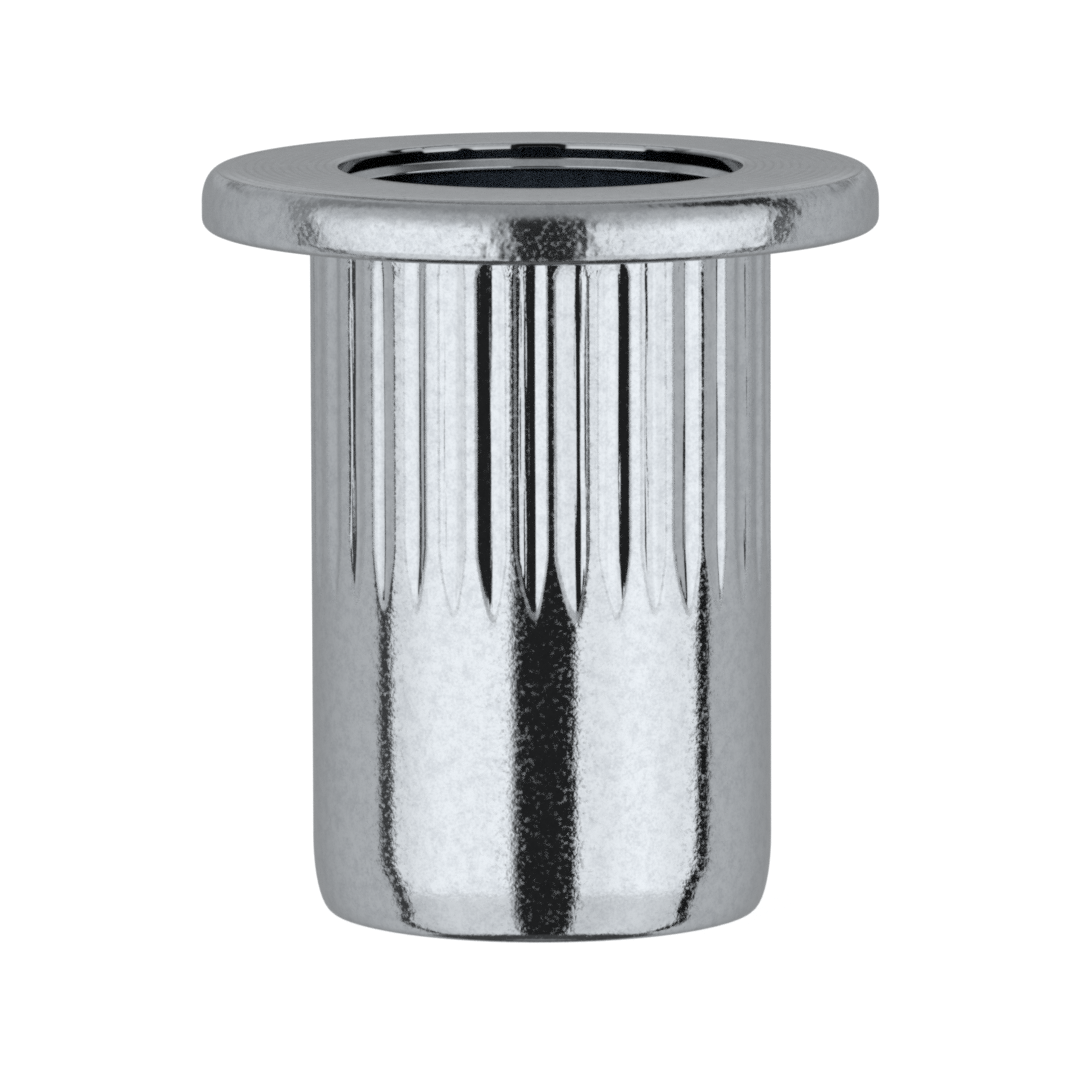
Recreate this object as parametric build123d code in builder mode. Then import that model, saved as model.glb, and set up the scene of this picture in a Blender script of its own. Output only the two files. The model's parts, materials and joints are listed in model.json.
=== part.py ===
from build123d import *
import os
from math import atan2, cos, pi, radians, sin, tan

# Open-end rivet nut for an M8 x 1.25 screw, one piece of zinc-plated steel.
# It stands on its lower end at Z = 0, with its axis on Z and its flange on top.
# Lengths are in millimetres and angles in degrees.

# thread, modelled as a plain hole at its minor diameter
thread_diameter = 8.0
thread_pitch = 1.25
minor_step = 1.0825  # from the thread's diameter to its minor diameter, in pitches
thread_length = 8.4  # from the lower end to the foot of the cone above it
thread_entry = 0.1  # how far the countersink at the lower end passes the thread, on the radius
countersink_angle = 45.0  # of the countersink at the lower end, from the axis

# chamber above the thread, whose thin wall folds when the nut is set
chamber_gap = 0.6  # between the screw and the wall
chamber_wall = 0.85
chamber_length = 7.9  # from the foot of the cone to the underside of the flange
cone_angle = 60.0  # of the cone that leads into the thread, from the axis
lip_break = 0.2  # edge broken at the chamber's mouth

# shank
nose_length = 1.75  # lead-in at the lower end, a quarter of an ellipse
nose_inset = 0.44

# flange
flange_overhang = 2.55
flange_thickness = 1.45
flange_top_rounding = 0.55
flange_bottom_break = 0.2

# knurl, straight grooves pressed into the shank under the flange
groove_count = 35
land_width = 0.2  # plain strip left between two grooves
groove_depth = 0.12  # to the point of the V, before its floor is rounded
groove_floor_radius = 0.6
groove_length = 7.3  # at full depth, from the underside of the flange
runout_length = 1.65  # from there to the tip of the groove
groove_turn = 2.0  # of the groove nearest to the front, -Y, towards -X
tool_margin = 0.1  # how far the tool that cuts a groove reaches outside the shank

# what follows from them
thread_minor_radius = (thread_diameter - minor_step * thread_pitch) / 2
entry_radius = thread_diameter / 2 + thread_entry
entry_height = (entry_radius - thread_minor_radius) / tan(radians(countersink_angle))
chamber_radius = thread_diameter / 2 + chamber_gap
cone_height = (chamber_radius - thread_minor_radius) / tan(radians(cone_angle))
shank_radius = chamber_radius + chamber_wall
shank_length = thread_length + chamber_length
flange_radius = shank_radius + flange_overhang
height = shank_length + flange_thickness

# one groove's V, with its point on X and its flanks up to the lands on either side
half_groove = pi / groove_count - land_width / (2 * shank_radius)  # in radians about the axis
point_radius = shank_radius - groove_depth
flank_rise = shank_radius * cos(half_groove) - point_radius
flank_reach = shank_radius * sin(half_groove)
flank_angle = atan2(flank_rise, flank_reach)
floor_depth = groove_depth - groove_floor_radius * (1 / cos(flank_angle) - 1)
mouth_radius = shank_radius + tool_margin
mouth_reach = flank_reach * (mouth_radius - point_radius) / flank_rise

# tool that cuts one groove: straight at full depth, then sloping out of the shank
with BuildPart() as groove_tool:
    with BuildSketch(Plane.XY.offset(shank_length - groove_length)) as groove_section:
        with BuildLine() as groove_outline:
            Polyline(
                (mouth_radius, mouth_reach),
                (point_radius, 0),
                (mouth_radius, -mouth_reach),
                close=True,
            )
        make_face()
        fillet(groove_section.vertices().sort_by(Axis.X)[0], groove_floor_radius)
    extrude(groove_section.sketch, amount=groove_length)
    slope = Vector(floor_depth, 0, -runout_length)
    clear_of_shank = slope.length * (1 + tool_margin / floor_depth)
    extrude(groove_section.sketch, amount=clear_of_shank, dir=slope)

with BuildPart() as rivet_nut:
    # outside: rounded nose, shank and flange
    with BuildSketch(Plane.XZ) as outside_section:
        with BuildLine() as outside_outline:
            nose = EllipticalCenterArc(
                (shank_radius - nose_inset, nose_length), nose_inset, nose_length, 270, arc_size=90
            )
            Polyline(
                nose @ 1,
                (shank_radius, shank_length),
                (flange_radius, shank_length),
                (flange_radius, height),
                (0, height),
                (0, 0),
                nose @ 0,
            )
        make_face()
    revolve(axis=Axis.Z)
    rim_edges = rivet_nut.edges().filter_by(GeomType.CIRCLE).group_by(SortBy.RADIUS)[-1].sort_by(Axis.Z)
    fillet(rim_edges[-1], flange_top_rounding)
    chamfer(rim_edges[0], flange_bottom_break)

    # inside: countersink, thread hole, cone and chamber
    with BuildSketch(Plane.XZ) as inside_section:
        with BuildLine() as inside_outline:
            Polyline(
                (0, 0),
                (entry_radius, 0),
                (thread_minor_radius, entry_height),
                (thread_minor_radius, thread_length),
                (chamber_radius, thread_length + cone_height),
                (chamber_radius, height),
                (0, height),
                close=True,
            )
        make_face()
    revolve(axis=Axis.Z, mode=Mode.SUBTRACT)
    mouth_edge = rivet_nut.faces().sort_by(Axis.Z)[-1].edges().sort_by(SortBy.RADIUS)[0]
    chamfer(mouth_edge, lip_break)

    # knurl
    with PolarLocations(0, groove_count, start_angle=-90 - groove_turn):
        add(groove_tool.part, mode=Mode.SUBTRACT)

rivet_nut.part.label = "rivet_nut"

os.makedirs("parts", exist_ok=True)
export_step(rivet_nut.part, "parts/rivet_nut.step")
print(f"rivet nut {height:.2f} mm high, shank {2 * shank_radius:.2f} mm, flange {2 * flange_radius:.2f} mm")
print(f"volume {rivet_nut.part.volume:.1f} mm3, groove floor {floor_depth:.3f} mm deep")
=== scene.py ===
import json
from math import cos, pi, radians, sin, tan

import bpy
from mathutils import Matrix, Vector


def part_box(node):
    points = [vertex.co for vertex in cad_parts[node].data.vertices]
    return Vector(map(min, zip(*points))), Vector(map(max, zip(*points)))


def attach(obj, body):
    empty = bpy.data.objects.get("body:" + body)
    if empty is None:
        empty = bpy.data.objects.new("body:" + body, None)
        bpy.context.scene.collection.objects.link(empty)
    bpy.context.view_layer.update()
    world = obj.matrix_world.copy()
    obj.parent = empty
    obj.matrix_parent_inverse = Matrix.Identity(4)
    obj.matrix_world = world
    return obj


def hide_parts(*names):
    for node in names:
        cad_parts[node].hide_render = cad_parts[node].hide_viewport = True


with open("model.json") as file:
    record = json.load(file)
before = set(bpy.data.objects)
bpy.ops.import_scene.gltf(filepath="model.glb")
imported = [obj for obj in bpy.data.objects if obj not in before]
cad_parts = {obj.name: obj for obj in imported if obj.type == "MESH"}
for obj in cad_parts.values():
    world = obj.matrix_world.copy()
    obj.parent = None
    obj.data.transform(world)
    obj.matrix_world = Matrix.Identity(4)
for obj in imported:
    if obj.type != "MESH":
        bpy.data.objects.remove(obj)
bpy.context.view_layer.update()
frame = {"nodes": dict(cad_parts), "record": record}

mm = 0.001
print("frame loaded:", ", ".join(frame["nodes"]))


class Wire:  # an output socket that takes part in Python expressions
    def __init__(self, graph, node, output=0):
        self.graph = graph
        self.node = node
        self.socket = node.outputs[output] if len(node.outputs) else None

    def __getitem__(self, output):  # another output of the same node
        return Wire(self.graph, self.node, output)

    def __add__(self, other):
        return self.graph.math("ADD", self, other)

    def __radd__(self, other):
        return self.graph.math("ADD", other, self)

    def __sub__(self, other):
        return self.graph.math("SUBTRACT", self, other)

    def __rsub__(self, other):
        return self.graph.math("SUBTRACT", other, self)

    def __mul__(self, other):
        return self.graph.math("MULTIPLY", self, other)

    def __rmul__(self, other):
        return self.graph.math("MULTIPLY", other, self)

    def __truediv__(self, other):
        return self.graph.math("DIVIDE", self, other)

    def __rtruediv__(self, other):
        return self.graph.math("DIVIDE", other, self)

    def __pow__(self, other):
        return self.graph.math("POWER", self, other)

    def __neg__(self):
        return self.graph.math("MULTIPLY", self, -1.0)

    def __abs__(self):
        return self.graph.math("ABSOLUTE", self)

    def __lt__(self, other):
        return self.graph.math("LESS_THAN", self, other)

    def __gt__(self, other):
        return self.graph.math("GREATER_THAN", self, other)


class Graph:  # a node tree and the ways to add to it
    def __init__(self, tree):
        self.tree = tree
        tree.nodes.clear()

    def add(self, kind, settings=None, sockets=None, output=0):
        node = self.tree.nodes.new(kind)
        for name, value in (settings or {}).items():
            setattr(node, name, value)
        for name, value in (sockets or {}).items():
            if isinstance(value, Wire):
                self.tree.links.new(value.socket, node.inputs[name])
            else:
                node.inputs[name].default_value = value
        return Wire(self, node, output)

    def math(self, operation, *values):
        return self.add("ShaderNodeMath", {"operation": operation}, dict(enumerate(values)))

    def smooth(self, value, start, end):  # 0 before start, 1 after end
        sockets = {"Value": value, "From Min": start, "From Max": end}
        return self.add("ShaderNodeMapRange", {"interpolation_type": "SMOOTHSTEP"}, sockets)

    def between(self, value, start, end, softness):  # 1 from start to end, with soft edges
        rising = self.smooth(value, start - softness, start + softness)
        return rising * (1 - self.smooth(value, end - softness, end + softness))

    def blend(self, share, first, second):
        return first + (second - first) * share

    def mixColor(self, share, first, second):
        return self.add("ShaderNodeMix", {"data_type": "RGBA"}, {0: share, 6: first, 7: second}, 2)

    def noise(self, place, size, detail=2.0):  # about 0.5 on average
        sockets = {"Vector": place, "Scale": 1 / size, "Detail": detail, "Roughness": 0.6}
        return self.add("ShaderNodeTexNoise", None, sockets)

    def xyz(self, vector):
        parts = self.add("ShaderNodeSeparateXYZ", None, {0: vector})
        return parts[0], parts[1], parts[2]

    def join(self, x, y, z):
        return self.add("ShaderNodeCombineXYZ", None, {0: x, 1: y, 2: z})


mounts = {mount["name"]: mount for mount in frame["record"]["mounts"]}
lowest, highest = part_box("rivet_nut")

nutSizes = {
    "flangeRadius": highest.x,
    "flangeThickness": highest.z - mounts["flange_seat"]["pos_m"][2],
    "rimRun": 0.45 * mm,  # rounding between the flange's top and its rim, along the top
    "rimDrop": 0.75 * mm,  # the same rounding, down the rim
    "shoulderRun": 2.4 * mm,  # slight fall of the top before that rounding
    "shoulderDrop": 0.035 * mm,
    "footRun": 0.24 * mm,  # rounding at the rim's lower edge
    "footDrop": 0.27 * mm,
    "shankRadius": mounts["shank"]["dims"]["r_mm"] * mm,
    "noseLength": 1.75 * mm,
    "noseInset": 0.44 * mm,
    "noseRow": 1.7,  # height of the plain row above the nose, in nose lengths
    "chamberRadius": mounts["chamber"]["dims"]["r_mm"] * mm,
    "mouthStep": 0.175 * mm,  # how much wider the chamber is at its mouth
    "mouthWall": 0.385 * mm,  # height of that wider part
    "mouthCone": 0.15 * mm,  # height of the cone below it
    "coneFootRounding": 0.05 * mm,
    "coneHeadRounding": 0.03 * mm,
    "chamberGaps": (1.2 * mm, 0.15 * mm),  # rows below that cone, which keep the walls flat
    "wallGaps": (0.05 * mm, 0.03 * mm),  # rows above the cone and below the lip, for the same
    "lipRun": 0.025 * mm,  # rounding of the lip, along the flange's top
    "lipDrop": 0.1 * mm,  # the same rounding, down the bore
    "lipWear": 1.4,  # added to it where the lip is worn, as a share
    "lipWearStart": 0.78,  # place of that wear, as a share of the radius towards +Y
    "lipWearFull": 0.84,
    "lipWearGrain": 0.16,  # size of its uneven patches, for a circle of radius 1
    "lipWearRange": (0.42, 0.52),
    "lipZone": 1.3,  # how far the wear reaches, in sizes of the rounding
    "lipSeed": 94,
    "threadTop": 8.4 * mm,  # where the cone to the chamber begins
    "coneSlope": tan(radians(60)),  # of that cone, outwards for each length up
    "threadRadius": 4.0 * mm,
    "threadBore": mounts["thread"]["dims"]["r_mm"] * mm,
    "threadPitch": 1.25 * mm,
    "threadFlank": tan(radians(60)),  # of the thread, outwards for each length along it
    "threadSoftness": 0.06 * mm,
    "threadEntry": 0.1 * mm,  # how far the countersink at the lower end passes the thread
    "threadZone": (0.2 * mm, 1.06),  # past its radius, and its height times this, where it may still cut
    "creaseAngle": radians(38),
    "entryRows": 5,  # rows of faces along each part of the outline
    "threadRows": 38,
    "coneRows": 5,
    "cornerRows": 3,
    "lipRows": 9,
    "topRows": 4,
    "rimRows": 12,
    "footRows": 7,
    "noseRows": 11,
}

knurlSizes = {
    "grooves": 35,
    "turn": radians(-1.6),  # of the groove nearest to the front, about Z
    "depth": 0.088 * mm,
    "leftFlank": tan(radians(18)),  # of the pressed V, from the shank's surface
    "rightFlank": tan(radians(23)),
    "floor": 0.06 * mm,  # roundness of the V's floor
    "shoulder": 0.02 * mm,  # softness of the edge between groove and land
    "start": highest.z - 1.45 * mm - 6.95 * mm,  # height at which the grooves begin to run out
    "runout": 2.0 * mm,
    "runoutPower": 1.45,  # 1 gives straight sides, more gives rounder ones
    "headRise": 0.62 * mm,  # under the flange, where the grooves grow uneven
    "headSpread": 0.8,
    "leanSpread": 0.2,  # differences between grooves, as shares
    "wander": 0.12,  # of one groove's lean along its length
    "wanderLength": 3.8 * mm,
    "depthSpread": 0.18,
    "runoutSpread": 0.07 * mm,
    "headRows": 3,  # rows of faces down the grooves
    "grooveRows": 4,
    "runoutRows": 20,
    "fadeRows": 4,  # below the run-out, where the columns spread out evenly again
    "fadeStep": 0.3 * mm,
    "columns": 20,  # across one groove and its land
    "grooveShare": 0.7,  # share of those columns inside the groove
    "crowding": 0.08,  # how much the columns gather at its floor and edges
    "crowdedReach": 1.1,  # how far they reach, in half widths of the groove
    "leastReach": 0.06,  # least half width that they gather in, as a share of the pitch
    "pressedShare": 0.3,  # share of the depth from which the metal counts as pressed
    "noiseStep": 7.3,  # distance between two grooves in the noise that bends them
    "seed": 343,
}


def spread(start, end, steps):  # heights from start towards end, without the end
    return [start + (end - start) * step / steps for step in range(steps)]


def quarter(radius, height, run, drop, start, steps):
    # quarter of an ellipse about (radius, height), clockwise from the angle start
    turns = [radians(start - 90 * step / steps) for step in range(steps + 1)]
    return [(radius + run * cos(turn), height + drop * sin(turn), 0) for turn in turns]


def rounded(before, corner, after, rounding, steps):
    # arc that rounds a corner of the outline
    corner, before, after = Vector(corner), Vector(before), Vector(after)
    inward, outward = (before - corner).normalized(), (after - corner).normalized()
    halfAngle = inward.angle(outward) / 2
    centre = corner + (inward + outward).normalized() * rounding / sin(halfAngle)
    first = corner + inward * rounding / tan(halfAngle) - centre
    last = corner + outward * rounding / tan(halfAngle) - centre
    arc = [first.slerp(last, step / steps).normalized() * rounding + centre for step in range(steps + 1)]
    return [(point.x, point.y, 0) for point in arc]


def sectionPoints(s, k):
    # closed outline (radius, height, share of the knurl), up the bore, over the flange, down the shank
    top = highest.z
    seat = top - s["flangeThickness"]
    tip = k["start"] - k["runout"] - k["runoutSpread"]
    entry = s["threadRadius"] + s["threadEntry"]
    entryTop = entry - s["threadBore"]
    coneTop = s["threadTop"] + (s["chamberRadius"] - s["threadBore"]) / s["coneSlope"]
    outline = []
    for height in spread(0, entryTop, s["entryRows"]):
        outline.append((entry - height, height, 0))
    for height in spread(entryTop, s["threadTop"], s["threadRows"]):
        outline.append((s["threadBore"], height, 0))
    for height in spread(s["threadTop"], coneTop, s["coneRows"]):
        outline.append((s["threadBore"] + (height - s["threadTop"]) * s["coneSlope"], height, 0))

    # chamber, the cone at its mouth and the lip
    chamber = (s["chamberRadius"], coneTop, 0)
    coneFoot = (chamber[0], top - s["mouthWall"] - s["mouthCone"], 0)
    coneHead = (chamber[0] + s["mouthStep"], top - s["mouthWall"], 0)
    lipFoot = (coneHead[0], top - s["lipDrop"], 0)
    aboveCone, belowLip = s["wallGaps"]
    outline.append(chamber)
    outline += [(chamber[0], coneFoot[1] - gap, 0) for gap in s["chamberGaps"]]
    outline += rounded(chamber, coneFoot, coneHead, s["coneFootRounding"], s["cornerRows"])
    outline += rounded(coneFoot, coneHead, lipFoot, s["coneHeadRounding"], s["cornerRows"])
    outline.append((lipFoot[0], coneHead[1] + aboveCone, 0))
    outline.append((lipFoot[0], lipFoot[1] - belowLip, 0))
    outline += quarter(lipFoot[0] + s["lipRun"], lipFoot[1], s["lipRun"], s["lipDrop"], 180, s["lipRows"])

    # flange
    rimStart = s["flangeRadius"] - s["rimRun"]
    for step in range(s["topRows"]):
        share = step / s["topRows"]
        fall = s["shoulderDrop"] * share ** 2
        outline.append((rimStart - s["shoulderRun"] * (1 - share), top - fall, 0))
    rimHeight = top - s["shoulderDrop"] - s["rimDrop"]
    outline += quarter(rimStart, rimHeight, s["rimRun"], s["rimDrop"], 90, s["rimRows"])[1:]
    footStart = s["flangeRadius"] - s["footRun"]
    outline += quarter(footStart, seat + s["footDrop"], s["footRun"], s["footDrop"], 0, s["footRows"])

    # shank and nose
    shank = s["shankRadius"]
    head = seat - k["headRise"]
    runoutTop = k["start"] + k["runoutSpread"]
    outline += [(shank, height, 1) for height in spread(seat, head, k["headRows"])]
    outline += [(shank, height, 1) for height in spread(head, runoutTop, k["grooveRows"])]
    outline += [(shank, height, 1) for height in spread(runoutTop, tip, k["runoutRows"])]
    for step in range(k["fadeRows"] + 1):
        outline.append((shank, tip - k["fadeStep"] * step, 1 - step / k["fadeRows"]))
    outline.append((shank, s["noseLength"] * s["noseRow"], 0))
    noseStart = shank - s["noseInset"]
    outline += quarter(noseStart, s["noseLength"], s["noseInset"], s["noseLength"], 0, s["noseRows"])
    return outline


def sectionObject(outline):
    mesh = bpy.data.meshes.new("section")
    edges = [(i, (i + 1) % len(outline)) for i in range(len(outline))]
    mesh.from_pydata([(radius, 0, height) for radius, height, share in outline], edges, [])
    for name, place in (("sectionRadius", 0), ("sectionHeight", 1), ("knurlShare", 2)):
        values = mesh.attributes.new(name, "FLOAT", "POINT")
        values.data.foreach_set("value", [point[place] for point in outline])
    section = bpy.data.objects.new("rivet_nut_turned", mesh)
    bpy.context.scene.collection.objects.link(section)
    return section


def turningTree(inputs, s, k):
    tree = bpy.data.node_groups.new("turnKnurlAndThread", "GeometryNodeTree")
    tree.interface.new_socket("Geometry", in_out="INPUT", socket_type="NodeSocketGeometry")
    kinds = {int: "NodeSocketInt", float: "NodeSocketFloat"}
    for name, value in inputs.items():
        kind = kinds.get(type(value), "NodeSocketMaterial")
        socket = tree.interface.new_socket(name, in_out="INPUT", socket_type=kind)
        if type(value) in kinds:
            socket.default_value = value
    tree.interface.new_socket("Geometry", in_out="OUTPUT", socket_type="NodeSocketGeometry")
    graph = Graph(tree)
    given = graph.add("NodeGroupInput")

    def stored(name):
        return graph.add("GeometryNodeInputNamedAttribute", {"data_type": "FLOAT"}, {"Name": name})

    def store(geometry, name, value):
        settings = {"data_type": "FLOAT", "domain": "POINT"}
        sockets = {"Geometry": geometry, "Name": name, "Value": value}
        return graph.add("GeometryNodeStoreNamedAttribute", settings, sockets)

    # the section is swept once round a circle with a fixed number of columns
    columns = given["Grooves"] * given["Columns"]
    circle = graph.add("GeometryNodeCurvePrimitiveCircle", None, {"Resolution": columns})
    circle = store(circle, "column", graph.add("GeometryNodeInputIndex"))
    section = graph.add("GeometryNodeMeshToCurve", None, {"Mesh": given["Geometry"]})
    nut = graph.add("GeometryNodeCurveToMesh", None, {"Curve": circle, "Profile Curve": section})

    pitch = 2 * pi / given["Grooves"]
    place = stored("column") / given["Columns"]
    number = graph.math("FLOOR", place)
    across = (place - number) * 2 - 1  # -1 and 1 at the lands' middles, 0 at the groove's
    side = graph.math("SIGN", across)
    height = stored("sectionHeight")
    radius = stored("sectionRadius")

    def drawn(low, high, offset):  # one number for each groove
        sockets = {2: low, 3: high, "ID": number, "Seed": given["Seed"] + offset}
        return graph.add("FunctionNodeRandomValue", {"data_type": "FLOAT"}, sockets, 1)

    # how deep the V is pressed at this height, with an uneven head and a pointed run-out
    along = graph.join(number * k["noiseStep"], height / given["Wander Length"], given["Seed"])
    wander = (graph.noise(along, 1.0, 1.0) - 0.5) * given["Wander"]
    lean = drawn(-1.0, 1.0, 0) * given["Lean Spread"] + wander
    deep = given["Depth"] * (1 + drawn(-1.0, 1.0, 1) * given["Depth Spread"])
    atHead = graph.smooth(height, given["Seat"] - given["Head Rise"], given["Seat"])
    deep = deep * (1 - atHead * drawn(0.0, 1.0, 3) * given["Head Spread"])
    start = given["Runout Start"] + drawn(-1.0, 1.0, 2) * given["Runout Spread"]
    out = graph.math("MAXIMUM", (start - height) / given["Runout"], 0.0)
    fade = graph.math("MAXIMUM", 1 - out ** given["Runout Power"], 0.0) * (stored("knurlShare") > 0.5)
    floor = given["Floor"]
    half = graph.math("SQRT", (deep + floor) * (deep + floor) - floor * floor) * fade
    deep = graph.math("SQRT", half * half + floor * floor) - floor
    flank = graph.blend(side > 0, given["Left Flank"], given["Right Flank"]) * (1 + lean * side)
    reach = half / (flank * given["Shank Radius"])  # as an angle about Z
    reach = graph.math("MAXIMUM", reach, pitch * k["leastReach"])

    # columns gather at the groove's floor and edges, and spread over the land
    inner = graph.math("MINIMUM", abs(across) / given["Groove Share"], 1.0)
    inner = (inner - graph.math("SINE", inner * (2 * pi)) * k["crowding"]) * k["crowdedReach"]
    outer = (abs(across) - given["Groove Share"]) / (1 - given["Groove Share"])
    outer = graph.math("MAXIMUM", outer, 0.0)
    edge = reach * k["crowdedReach"]
    crowded = reach * inner + (pitch / 2 - edge) * outer
    local = graph.blend(stored("knurlShare"), abs(across) * pitch / 2, crowded)

    # cut of the V, and the groove's softened shoulder
    offset = local * given["Shank Radius"] * flank
    rise = graph.math("SQRT", offset * offset + floor * floor) - floor
    cut = graph.math("SMOOTH_MAX", deep - rise, 0.0, given["Shoulder"])
    cut = cut * graph.smooth(deep, 0.0, given["Shoulder"])
    angle = (number + 0.5) * pitch - pitch / 2 + local * side + given["Turn"] - pi / 2

    # the thread follows a helix, with flats of an eighth of its pitch, and countersink and cone end it
    turns = height / given["Thread Pitch"] - angle / (2 * pi)
    phase = abs(turns - graph.math("FLOOR", turns) - 0.5) * given["Thread Pitch"]
    ridge = given["Thread Radius"] - (phase - given["Thread Pitch"] / 16) * given["Thread Flank"]
    ridge = graph.math("SMOOTH_MIN", ridge, given["Thread Radius"], given["Thread Softness"])
    ridge = graph.math("SMOOTH_MAX", ridge, given["Thread Bore"], given["Thread Softness"])
    past, above = s["threadZone"]
    tapped = (radius < given["Thread Radius"] + past) * (height < given["Thread Top"] * above)
    radius = graph.blend(tapped, radius, graph.math("MAXIMUM", radius, ridge))
    radius = radius - cut

    # the lip's rounding is larger, and uneven, where the lip is worn
    onLip = height > given["Top"] - given["Lip Drop"] * s["lipZone"]
    onLip = onLip * (radius < given["Lip Radius"] + given["Lip Run"] * s["lipZone"])
    around = graph.join(graph.math("COSINE", angle), graph.math("SINE", angle), given["Lip Seed"])
    worn = graph.smooth(graph.math("SINE", angle), given["Lip Wear Start"], given["Lip Wear Full"])
    worn = worn * graph.smooth(graph.noise(around, s["lipWearGrain"], 1.0), *s["lipWearRange"])
    scale = 1 + worn * given["Lip Wear"] * onLip
    radius = given["Lip Radius"] + (radius - given["Lip Radius"]) * graph.blend(onLip, 1.0, scale)
    height = given["Top"] + (height - given["Top"]) * graph.blend(onLip, 1.0, scale)

    place = graph.join(radius * graph.math("COSINE", angle), radius * graph.math("SINE", angle), height)
    nut = store(nut, "pressed", graph.math("MINIMUM", cut / (given["Depth"] * k["pressedShare"]), 1.0))
    nut = store(nut, "worn", worn)
    nut = graph.add("GeometryNodeSetPosition", None, {"Geometry": nut, "Position": place})

    # smooth faces, with crisp edges where they meet steeply
    crease = graph.add("GeometryNodeInputMeshEdgeAngle", output="Unsigned Angle") > s["creaseAngle"]
    nut = graph.add("GeometryNodeSetShadeSmooth", {"domain": "FACE"}, {
        "Geometry": nut, "Shade Smooth": True,
    })
    nut = graph.add("GeometryNodeSetShadeSmooth", {"domain": "EDGE"}, {
        "Geometry": nut, "Selection": crease, "Shade Smooth": False,
    })
    for name in ("column", "sectionRadius", "sectionHeight", "knurlShare"):
        nut = graph.add("GeometryNodeRemoveAttribute", None, {"Geometry": nut, "Name": name})
    nut = graph.add("GeometryNodeRealizeInstances", None, {"Geometry": nut})
    nut = graph.add("GeometryNodeSetMaterial", None, {"Geometry": nut, "Material": given["Material"]})
    graph.add("NodeGroupOutput", None, {"Geometry": nut})
    return tree


def makeNut(s, k, material):
    inputs = {
        "Grooves": k["grooves"],
        "Columns": k["columns"],
        "Groove Share": k["grooveShare"],
        "Turn": k["turn"],
        "Depth": k["depth"],
        "Left Flank": k["leftFlank"],
        "Right Flank": k["rightFlank"],
        "Floor": k["floor"],
        "Shoulder": k["shoulder"],
        "Runout Start": k["start"],
        "Runout": k["runout"],
        "Runout Power": k["runoutPower"],
        "Head Rise": k["headRise"],
        "Head Spread": k["headSpread"],
        "Lean Spread": k["leanSpread"],
        "Wander": k["wander"],
        "Wander Length": k["wanderLength"],
        "Depth Spread": k["depthSpread"],
        "Runout Spread": k["runoutSpread"],
        "Seed": k["seed"],
        "Seat": highest.z - s["flangeThickness"],
        "Top": highest.z,
        "Shank Radius": s["shankRadius"],
        "Lip Radius": s["chamberRadius"] + s["mouthStep"],
        "Lip Run": s["lipRun"],
        "Lip Drop": s["lipDrop"],
        "Lip Wear": s["lipWear"],
        "Lip Wear Start": s["lipWearStart"],
        "Lip Wear Full": s["lipWearFull"],
        "Lip Seed": s["lipSeed"],
        "Thread Pitch": s["threadPitch"],
        "Thread Radius": s["threadRadius"],
        "Thread Bore": s["threadBore"],
        "Thread Top": s["threadTop"],
        "Thread Flank": s["threadFlank"],
        "Thread Softness": s["threadSoftness"],
        "Material": material,
    }
    section = sectionObject(sectionPoints(s, k))
    modifier = section.modifiers.new("turning", "NODES")
    modifier.node_group = turningTree(inputs, s, k)
    for item in modifier.node_group.interface.items_tree:
        if item.in_out == "INPUT" and item.name in inputs:
            modifier[item.identifier] = inputs[item.name]
    section.update_tag()
    evaluated = section.evaluated_get(bpy.context.evaluated_depsgraph_get())
    mesh = bpy.data.meshes.new_from_object(evaluated)
    section.modifiers.remove(modifier)
    section.data = mesh
    mesh.name = section.name
    return section


zincFinish = {
    "color": (0.775, 0.795, 0.815, 1.0),
    "dullColor": (0.635, 0.655, 0.68, 1.0),
    "shadeColor": (0.60, 0.61, 0.62, 1.0),  # lighter painted shade on the mouth's wall where the lip is worn, and the darker tone along the rim's lower edge
    "wallColor": (0.30, 0.305, 0.31, 1.0),  # painted shade on the short wall at the bore's mouth, and the painted shade that draws the turned rings
    "cloudSize": 0.3 * mm,  # uneven tone of the plate
    "cloudDetail": 4.0,
    "cloudRange": (0.4, 0.65),
    "dotSize": 0.06 * mm,
    "dotShare": 0.5,
    "roughness": 0.055,
    "rimRoughness": 0.16,  # the headed rim is coarser
    "edgeRoughness": 0.3,  # added along the grooves' edges
    "edgeRange": (0.08, 0.6),  # what counts as an edge, in shares of the pressed depth
    "edgeSoftness": 0.08,
    "coneRoughness": 0.25,  # added on the cone at the bore's mouth
    "speckSize": 0.11 * mm,
    "speckRange": (0.5, 0.68),
    "speckRoughness": 0.2,  # added where the plate is dull
    "grainSize": 0.11 * mm,
    "grainHeight": 0.0032 * mm,
    "rimStart": (1.3, 1.4),  # where the coarser rim begins, in shank radii
    "rimGrainSize": 0.2 * mm,
    "rimGrainDetail": 0.6,
    "rimGrainHeight": 0.01 * mm,
    "rimWaveSize": 1.0 * mm,
    "rimWaveDetail": 1.0,
    "rimWaveHeight": 0.03 * mm,
    "pressedGrain": 0.4,  # share of grain and specks left inside the grooves
    "headGrain": 3.0,  # more grain where the shank meets the flange
    "headReach": 0.6 * mm,
    "headSoftness": 0.1 * mm,
    "footShade": 0.9,  # darker tone along the rim's lower edge
    "footEdge": (0.03 * mm, 0.17 * mm),  # heights above that edge over which it ends
    "footWaveSize": 0.15 * mm,  # makes that end uneven
    "footWaveHeight": 0.3 * mm,
    "lipMargin": 0.03 * mm,  # outwards and downwards from the lip, to where the mouth's finish and its painted shade begin
    "mouthSoftness": 0.02 * mm,
    "topStart": (0.06 * mm, 0.04 * mm),  # below the highest point, where the turned top begins
    "topSmoothness": 0.6,  # share of the grain that the turning took away
    "streakWidth": 0.24 * mm,
    "streakHeight": 0.016 * mm,
    "streakStretch": 0.03,
    "ringPitch": 0.21 * mm,
    "ringHeight": 0.0008 * mm,
    "ringShade": 0.4,
    "ringCloudSize": 1.3 * mm,  # patches where the rings are clear
    "ringCloudRange": (0.35, 0.55),
}


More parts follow.
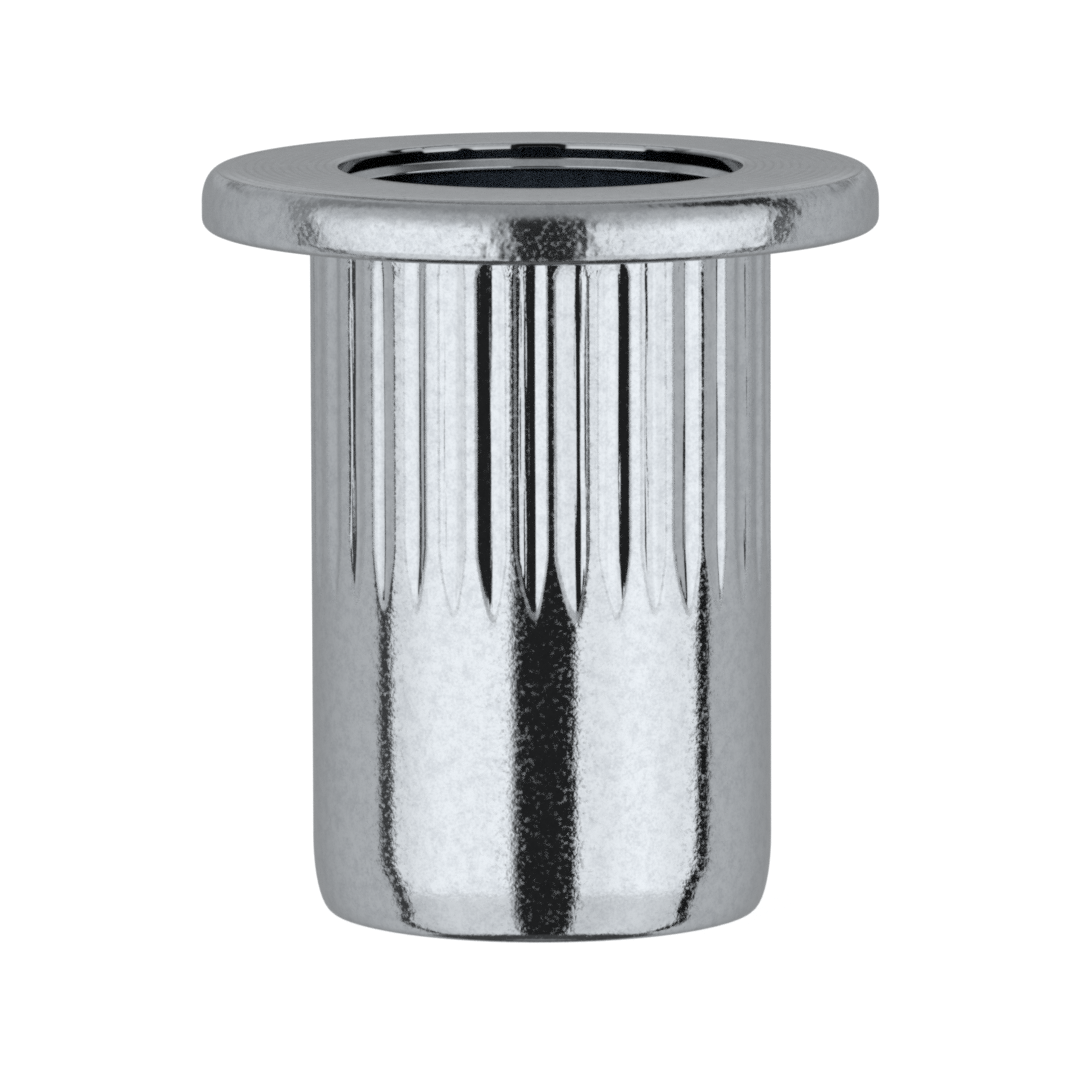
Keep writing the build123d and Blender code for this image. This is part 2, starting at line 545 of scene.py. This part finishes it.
def zincMaterial(f):
    material = bpy.data.materials.new("zinc_plate")
    material.use_nodes = True
    graph = Graph(material.node_tree)
    place = graph.add("ShaderNodeTexCoord", output="Object")
    x, y, z = graph.xyz(place)
    pressed = graph.add("ShaderNodeAttribute", {"attribute_name": "pressed"}, output="Fac")
    worn = graph.add("ShaderNodeAttribute", {"attribute_name": "worn"}, output="Fac")
    radius = graph.math("SQRT", x * x + y * y)

    # places on the nut
    top = highest.z
    seat = top - nutSizes["flangeThickness"]
    coneHead = top - nutSizes["mouthWall"]
    coneFoot = coneHead - nutSizes["mouthCone"]
    lipRadius = nutSizes["chamberRadius"] + nutSizes["mouthStep"]
    rimStart, rimFull = [share * nutSizes["shankRadius"] for share in f["rimStart"]]
    topStart, topFull = [top - depth for depth in f["topStart"]]
    footStart, footEnd = [seat + rise for rise in f["footEdge"]]
    onTop = graph.smooth(z, topStart, topFull)
    onRim = graph.smooth(radius, rimStart, rimFull) * (1 - onTop)
    inMouth = radius < lipRadius + f["lipMargin"]
    # where the painted shade on the short wall at the bore's mouth goes
    shadedWall = inMouth * graph.between(z, coneHead, top - f["lipMargin"], f["mouthSoftness"])
    onCone = inMouth * graph.between(z, coneFoot, coneHead, f["mouthSoftness"])
    atHead = graph.between(z, seat - f["headReach"], seat, f["headSoftness"])
    footWave = (graph.noise(place, f["footWaveSize"]) - 0.5) * f["footWaveHeight"]
    atFoot = onRim * (1 - graph.smooth(z + footWave, footStart, footEnd))
    left = 1 - pressed * (1 - f["pressedGrain"])

    # relief: grain, coarser on the rim, drawn lines in the grooves, turned rings on the top
    grain = graph.noise(place, f["grainSize"]) * f["grainHeight"] * left * (1 + atHead * f["headGrain"])
    rimGrain = graph.noise(place, f["rimGrainSize"], f["rimGrainDetail"]) * f["rimGrainHeight"]
    rimWave = graph.noise(place, f["rimWaveSize"], f["rimWaveDetail"]) * f["rimWaveHeight"]
    grain = graph.blend(onRim, grain, rimGrain + rimWave)
    grain = grain * (1 - onTop * f["topSmoothness"]) * (1 - inMouth)
    rings = graph.math("SINE", radius * (2 * pi / f["ringPitch"])) * onTop
    streaks = graph.noise(graph.join(x, y, z * f["streakStretch"]), f["streakWidth"]) * pressed
    height = grain + rings * f["ringHeight"] + streaks * f["streakHeight"]
    normal = graph.add("ShaderNodeBump", None, {"Height": height, "Distance": 1.0, "Strength": 1.0})

    # tone, with painted shade on the mouth's wall and in the turned rings
    cloud = graph.noise(place, f["cloudSize"], f["cloudDetail"]) * (1 - f["dotShare"])
    cloud = cloud + graph.noise(place, f["dotSize"]) * f["dotShare"]
    color = graph.mixColor(graph.smooth(cloud, *f["cloudRange"]), f["color"], f["dullColor"])
    # darker tone along the rim's lower edge, with an uneven upper end
    color = graph.mixColor(atFoot * f["footShade"], color, f["shadeColor"])
    # painted shade on the short wall at the bore's mouth, lighter where the lip is worn, which brightens
    # the lip's highlights there
    color = graph.mixColor(shadedWall, color, graph.mixColor(worn, f["wallColor"], f["shadeColor"]))
    # painted shade that draws the turned rings on the top, in patches
    ringCloud = graph.smooth(graph.noise(place, f["ringCloudSize"]), *f["ringCloudRange"])
    paintedRingShade = graph.smooth(rings, 0.0, 1.0) * ringCloud * f["ringShade"]
    color = graph.mixColor(paintedRingShade, color, f["wallColor"])

    # gloss
    speck = graph.smooth(graph.noise(place, f["speckSize"]), *f["speckRange"]) * left * (1 - inMouth)
    edge = graph.between(pressed, *f["edgeRange"], f["edgeSoftness"]) * (1 - inMouth)
    rough = graph.blend(onRim, f["roughness"], f["rimRoughness"]) + speck * f["speckRoughness"]
    rough = rough + edge * f["edgeRoughness"]
    rough = rough + onCone * f["coneRoughness"]
    shader = graph.add("ShaderNodeBsdfPrincipled", None, {
        "Base Color": color, "Metallic": 1.0, "Roughness": rough, "Normal": normal,
    })
    graph.add("ShaderNodeOutputMaterial", None, {"Surface": shader})
    return material


nut = makeNut(nutSizes, knurlSizes, zincMaterial(zincFinish))
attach(nut, "root")
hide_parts("rivet_nut")
print("nut turned:", len(nut.data.polygons), "faces")


floorPaper = {
    "half": 30.0,  # half its width, in metres
    "color": (0.9, 0.9, 0.9, 1.0),
    "roughness": 0.9,
    "glow": 0.75,  # keeps the paper white round the nut
}


def makeFloor(f):
    half = f["half"]
    mesh = bpy.data.meshes.new("floor")
    corners = [(-half, -half), (half, -half), (half, half), (-half, half)]
    mesh.from_pydata([(x, y, lowest.z) for x, y in corners], [], [(0, 1, 2, 3)])
    floor = bpy.data.objects.new("floor", mesh)
    bpy.context.scene.collection.objects.link(floor)
    floor.visible_glossy = False
    material = bpy.data.materials.new("floor_paper")
    material.use_nodes = True
    graph = Graph(material.node_tree)
    shader = graph.add("ShaderNodeBsdfPrincipled", None, {
        "Base Color": f["color"], "Roughness": f["roughness"], "Specular IOR Level": 0.0,
        "Emission Color": (1.0, 1.0, 1.0, 1.0), "Emission Strength": f["glow"],
    })
    graph.add("ShaderNodeOutputMaterial", None, {"Surface": shader})
    mesh.materials.append(material)


studio = {  # angles in degrees, sideways from the front and up from the horizon
    "sideLevel": 0.53,  # walls
    "backLevel": 0.335,
    "backTurn": (95.0, 165.0),  # from the side walls to the wall behind
    "backHighLevel": 0.47,  # its upper part
    "backHighTurn": (120.0, 160.0),
    "backRise": (6.2, 11.5),
    "lineHeights": (19.0, 25.0),  # darker line on it
    "lineSoftness": 2.0,
    "lineLevel": 0.16,
    "ceilingRise": (38.0, 68.0),
    "ceilingLevel": 0.33,
    "boxLeft": 81.4,  # outer edges of the two light boxes
    "boxRight": 84.6,
    "boxEdge": 1.0,  # softness of those edges
    "boxLevel": 1.06,
    "boxFootLevel": 0.78,
    "boxFootRise": (-22.0, -17.0),
    "boxLeftShare": 1.03,
    "boxLeftDim": (0.21, 48.0, 80.0),  # how much, and over which angles, the left box falls off
    "boxRightShare": 0.93,
    "boxRightMiddle": (0.12, 38.0, 62.0),  # how much brighter, and where, the right box is in its middle
    "boxRightSoftness": 10.0,
    "boxFade": (2.0, 36.0),
    "boxHighLevel": 0.52,
    "pinch": 7.0,  # how much narrower the boxes are between these heights
    "pinchHeights": (-32.0, -13.0),
    "pinchFade": 5.0,
    "flagWidth": 8.5,  # dark cloths beside the boxes
    "flagLean": (0.3, 0.0035),  # outwards with height
    "flagSpread": 0.0055,  # wider with height
    "flagSoftness": 0.8,
    "flagEnd": (48.0, 60.0),
    "rightLevel": 0.012,
    "leftLevel": 0.055,
    "leftHighLevel": 0.25,
    "leftRise": (-3.0, 8.0),
    "barLevel": 0.02,  # dark bar over the boxes' outer ends
    "barHeights": (46.0, 66.0),
    "barReach": (86.0, 138.0),
    "barSoftness": (4.0, 6.0),  # up and sideways
    "gapLeft": (-18.0, -11.6),  # edges of the dark room behind the camera, between the boxes
    "gapRight": (15.9, 18.1),
    "gapLevel": 0.018,
    "gapFade": (28.0, 70.0),  # heights over which that dark gives way to the ceiling
    "footRise": (-63.0, -57.0),  # dark ground near the boxes
    "footLevel": 0.06,
    "floorRise": (-86.0, -78.0),  # pale paper under the nut
    "floorLevel": 0.22,
    "tint": (0.975, 1.0, 1.02),
}


def lightStudio(s):
    world = bpy.data.worlds.new("studio")
    bpy.context.scene.world = world
    world.use_nodes = True
    graph = Graph(world.node_tree)
    x, y, z = graph.xyz(graph.add("ShaderNodeTexCoord", output="Generated"))
    azimuth = graph.math("ARCTAN2", x, -y) * (180 / pi)
    elevation = graph.math("ARCSINE", z) * (180 / pi)
    turned = abs(azimuth)
    onRight = azimuth > 0
    high = graph.math("MAXIMUM", elevation, 0.0)

    # walls and ceiling
    wall = graph.blend(graph.smooth(turned, *s["backTurn"]), s["sideLevel"], s["backLevel"])
    atBack = graph.smooth(turned, *s["backHighTurn"])
    wall = graph.blend(atBack * graph.smooth(elevation, *s["backRise"]), wall, s["backHighLevel"])
    line = graph.between(elevation, *s["lineHeights"], s["lineSoftness"])
    wall = graph.blend(atBack * line, wall, s["lineLevel"])

    # light boxes, dimmer at the foot and towards the top
    box = graph.blend(graph.smooth(elevation, *s["boxFootRise"]), s["boxFootLevel"], s["boxLevel"])
    amount, start, end = s["boxLeftDim"]
    leftBox = s["boxLeftShare"] - graph.smooth(turned, start, end) * amount
    amount, start, end = s["boxRightMiddle"]
    rightBox = s["boxRightShare"] + graph.between(turned, start, end, s["boxRightSoftness"]) * amount
    box = box * graph.blend(onRight, leftBox, rightBox)
    box = graph.blend(graph.smooth(elevation, *s["boxFade"]), box, s["boxHighLevel"])
    edge = graph.blend(onRight, s["boxLeft"], s["boxRight"])
    edge = edge - graph.between(elevation, *s["pinchHeights"], s["pinchFade"]) * s["pinch"]
    lean = high * s["flagLean"][0] + high * high * s["flagLean"][1]
    widen = high * high * s["flagSpread"]
    pastBox = graph.smooth(turned, edge + lean - s["boxEdge"], edge + lean + s["boxEdge"])
    level = graph.blend(pastBox, box, wall)
    level = graph.blend(graph.smooth(elevation, *s["ceilingRise"]), level, s["ceilingLevel"])

    # dark cloths and the dark room in front
    dark = graph.blend(graph.smooth(elevation, *s["leftRise"]), s["leftLevel"], s["leftHighLevel"])
    dark = graph.blend(onRight, dark, s["rightLevel"])
    flagStart = edge + lean - widen
    flagOuter = edge + lean + widen + s["flagWidth"]
    flag = graph.between(turned, flagStart, flagOuter, s["flagSoftness"])
    flag = flag * (1 - graph.smooth(elevation, *s["flagEnd"]))
    level = graph.blend(flag, level, dark)
    softUp, softSideways = s["barSoftness"]
    bar = graph.between(elevation, *s["barHeights"], softUp)
    bar = bar * graph.between(turned, *s["barReach"], softSideways)
    level = graph.blend(bar, level, graph.blend(onRight, s["leftHighLevel"], s["barLevel"]))
    gap = graph.smooth(azimuth, *s["gapLeft"]) * (1 - graph.smooth(azimuth, *s["gapRight"]))
    gap = gap * (1 - graph.smooth(elevation, *s["gapFade"]))
    level = graph.blend(gap, level, s["gapLevel"])
    level = graph.blend(graph.smooth(elevation, *s["footRise"]), s["footLevel"], level)
    level = graph.blend(graph.smooth(elevation, *s["floorRise"]), s["floorLevel"], level)

    color = graph.add("ShaderNodeVectorMath", {"operation": "SCALE"}, {0: s["tint"], "Scale": level})
    background = graph.add("ShaderNodeBackground", None, {"Color": color, "Strength": 1.0})
    paper = graph.add("ShaderNodeBackground", None, {"Color": (1.0, 1.0, 1.0, 1.0), "Strength": 1.0})
    seen = graph.add("ShaderNodeLightPath", output="Is Camera Ray")
    shader = graph.add("ShaderNodeMixShader", None, {0: seen, 1: background, 2: paper})
    graph.add("ShaderNodeOutputWorld", None, {"Surface": shader})


view = {
    "distance": 292.4 * mm,
    "elevation": radians(8.18),
    "aim": Vector((-0.02, 0, 8.795)) * mm,
    "roll": radians(-0.17),
    "lens": 410.46,
    "sensor": 36.0,
    "clip": (0.01, 100.0),
}


def placeCamera(v):
    camera = bpy.data.objects.new("camera", bpy.data.cameras.new("camera"))
    bpy.context.scene.collection.objects.link(camera)
    camera.data.lens = v["lens"]
    camera.data.sensor_width = v["sensor"]
    camera.data.clip_start, camera.data.clip_end = v["clip"]
    back = Vector((0, -cos(v["elevation"]), sin(v["elevation"]))) * v["distance"]
    camera.location = v["aim"] + back
    turn = Matrix.Rotation(pi / 2 - v["elevation"], 3, "X") @ Matrix.Rotation(v["roll"], 3, "Z")
    camera.rotation_euler = turn.to_euler()
    bpy.context.scene.camera = camera


makeFloor(floorPaper)
lightStudio(studio)
placeCamera(view)
bpy.context.scene.view_settings.view_transform = "Standard"
bpy.context.scene.cycles.use_denoising = False  # keeps the grain
bpy.context.scene.cycles.filter_width = 2.0
bpy.context.scene.cycles.glossy_bounces = 12  # light reaches down the bore
print("floor, light and camera placed")
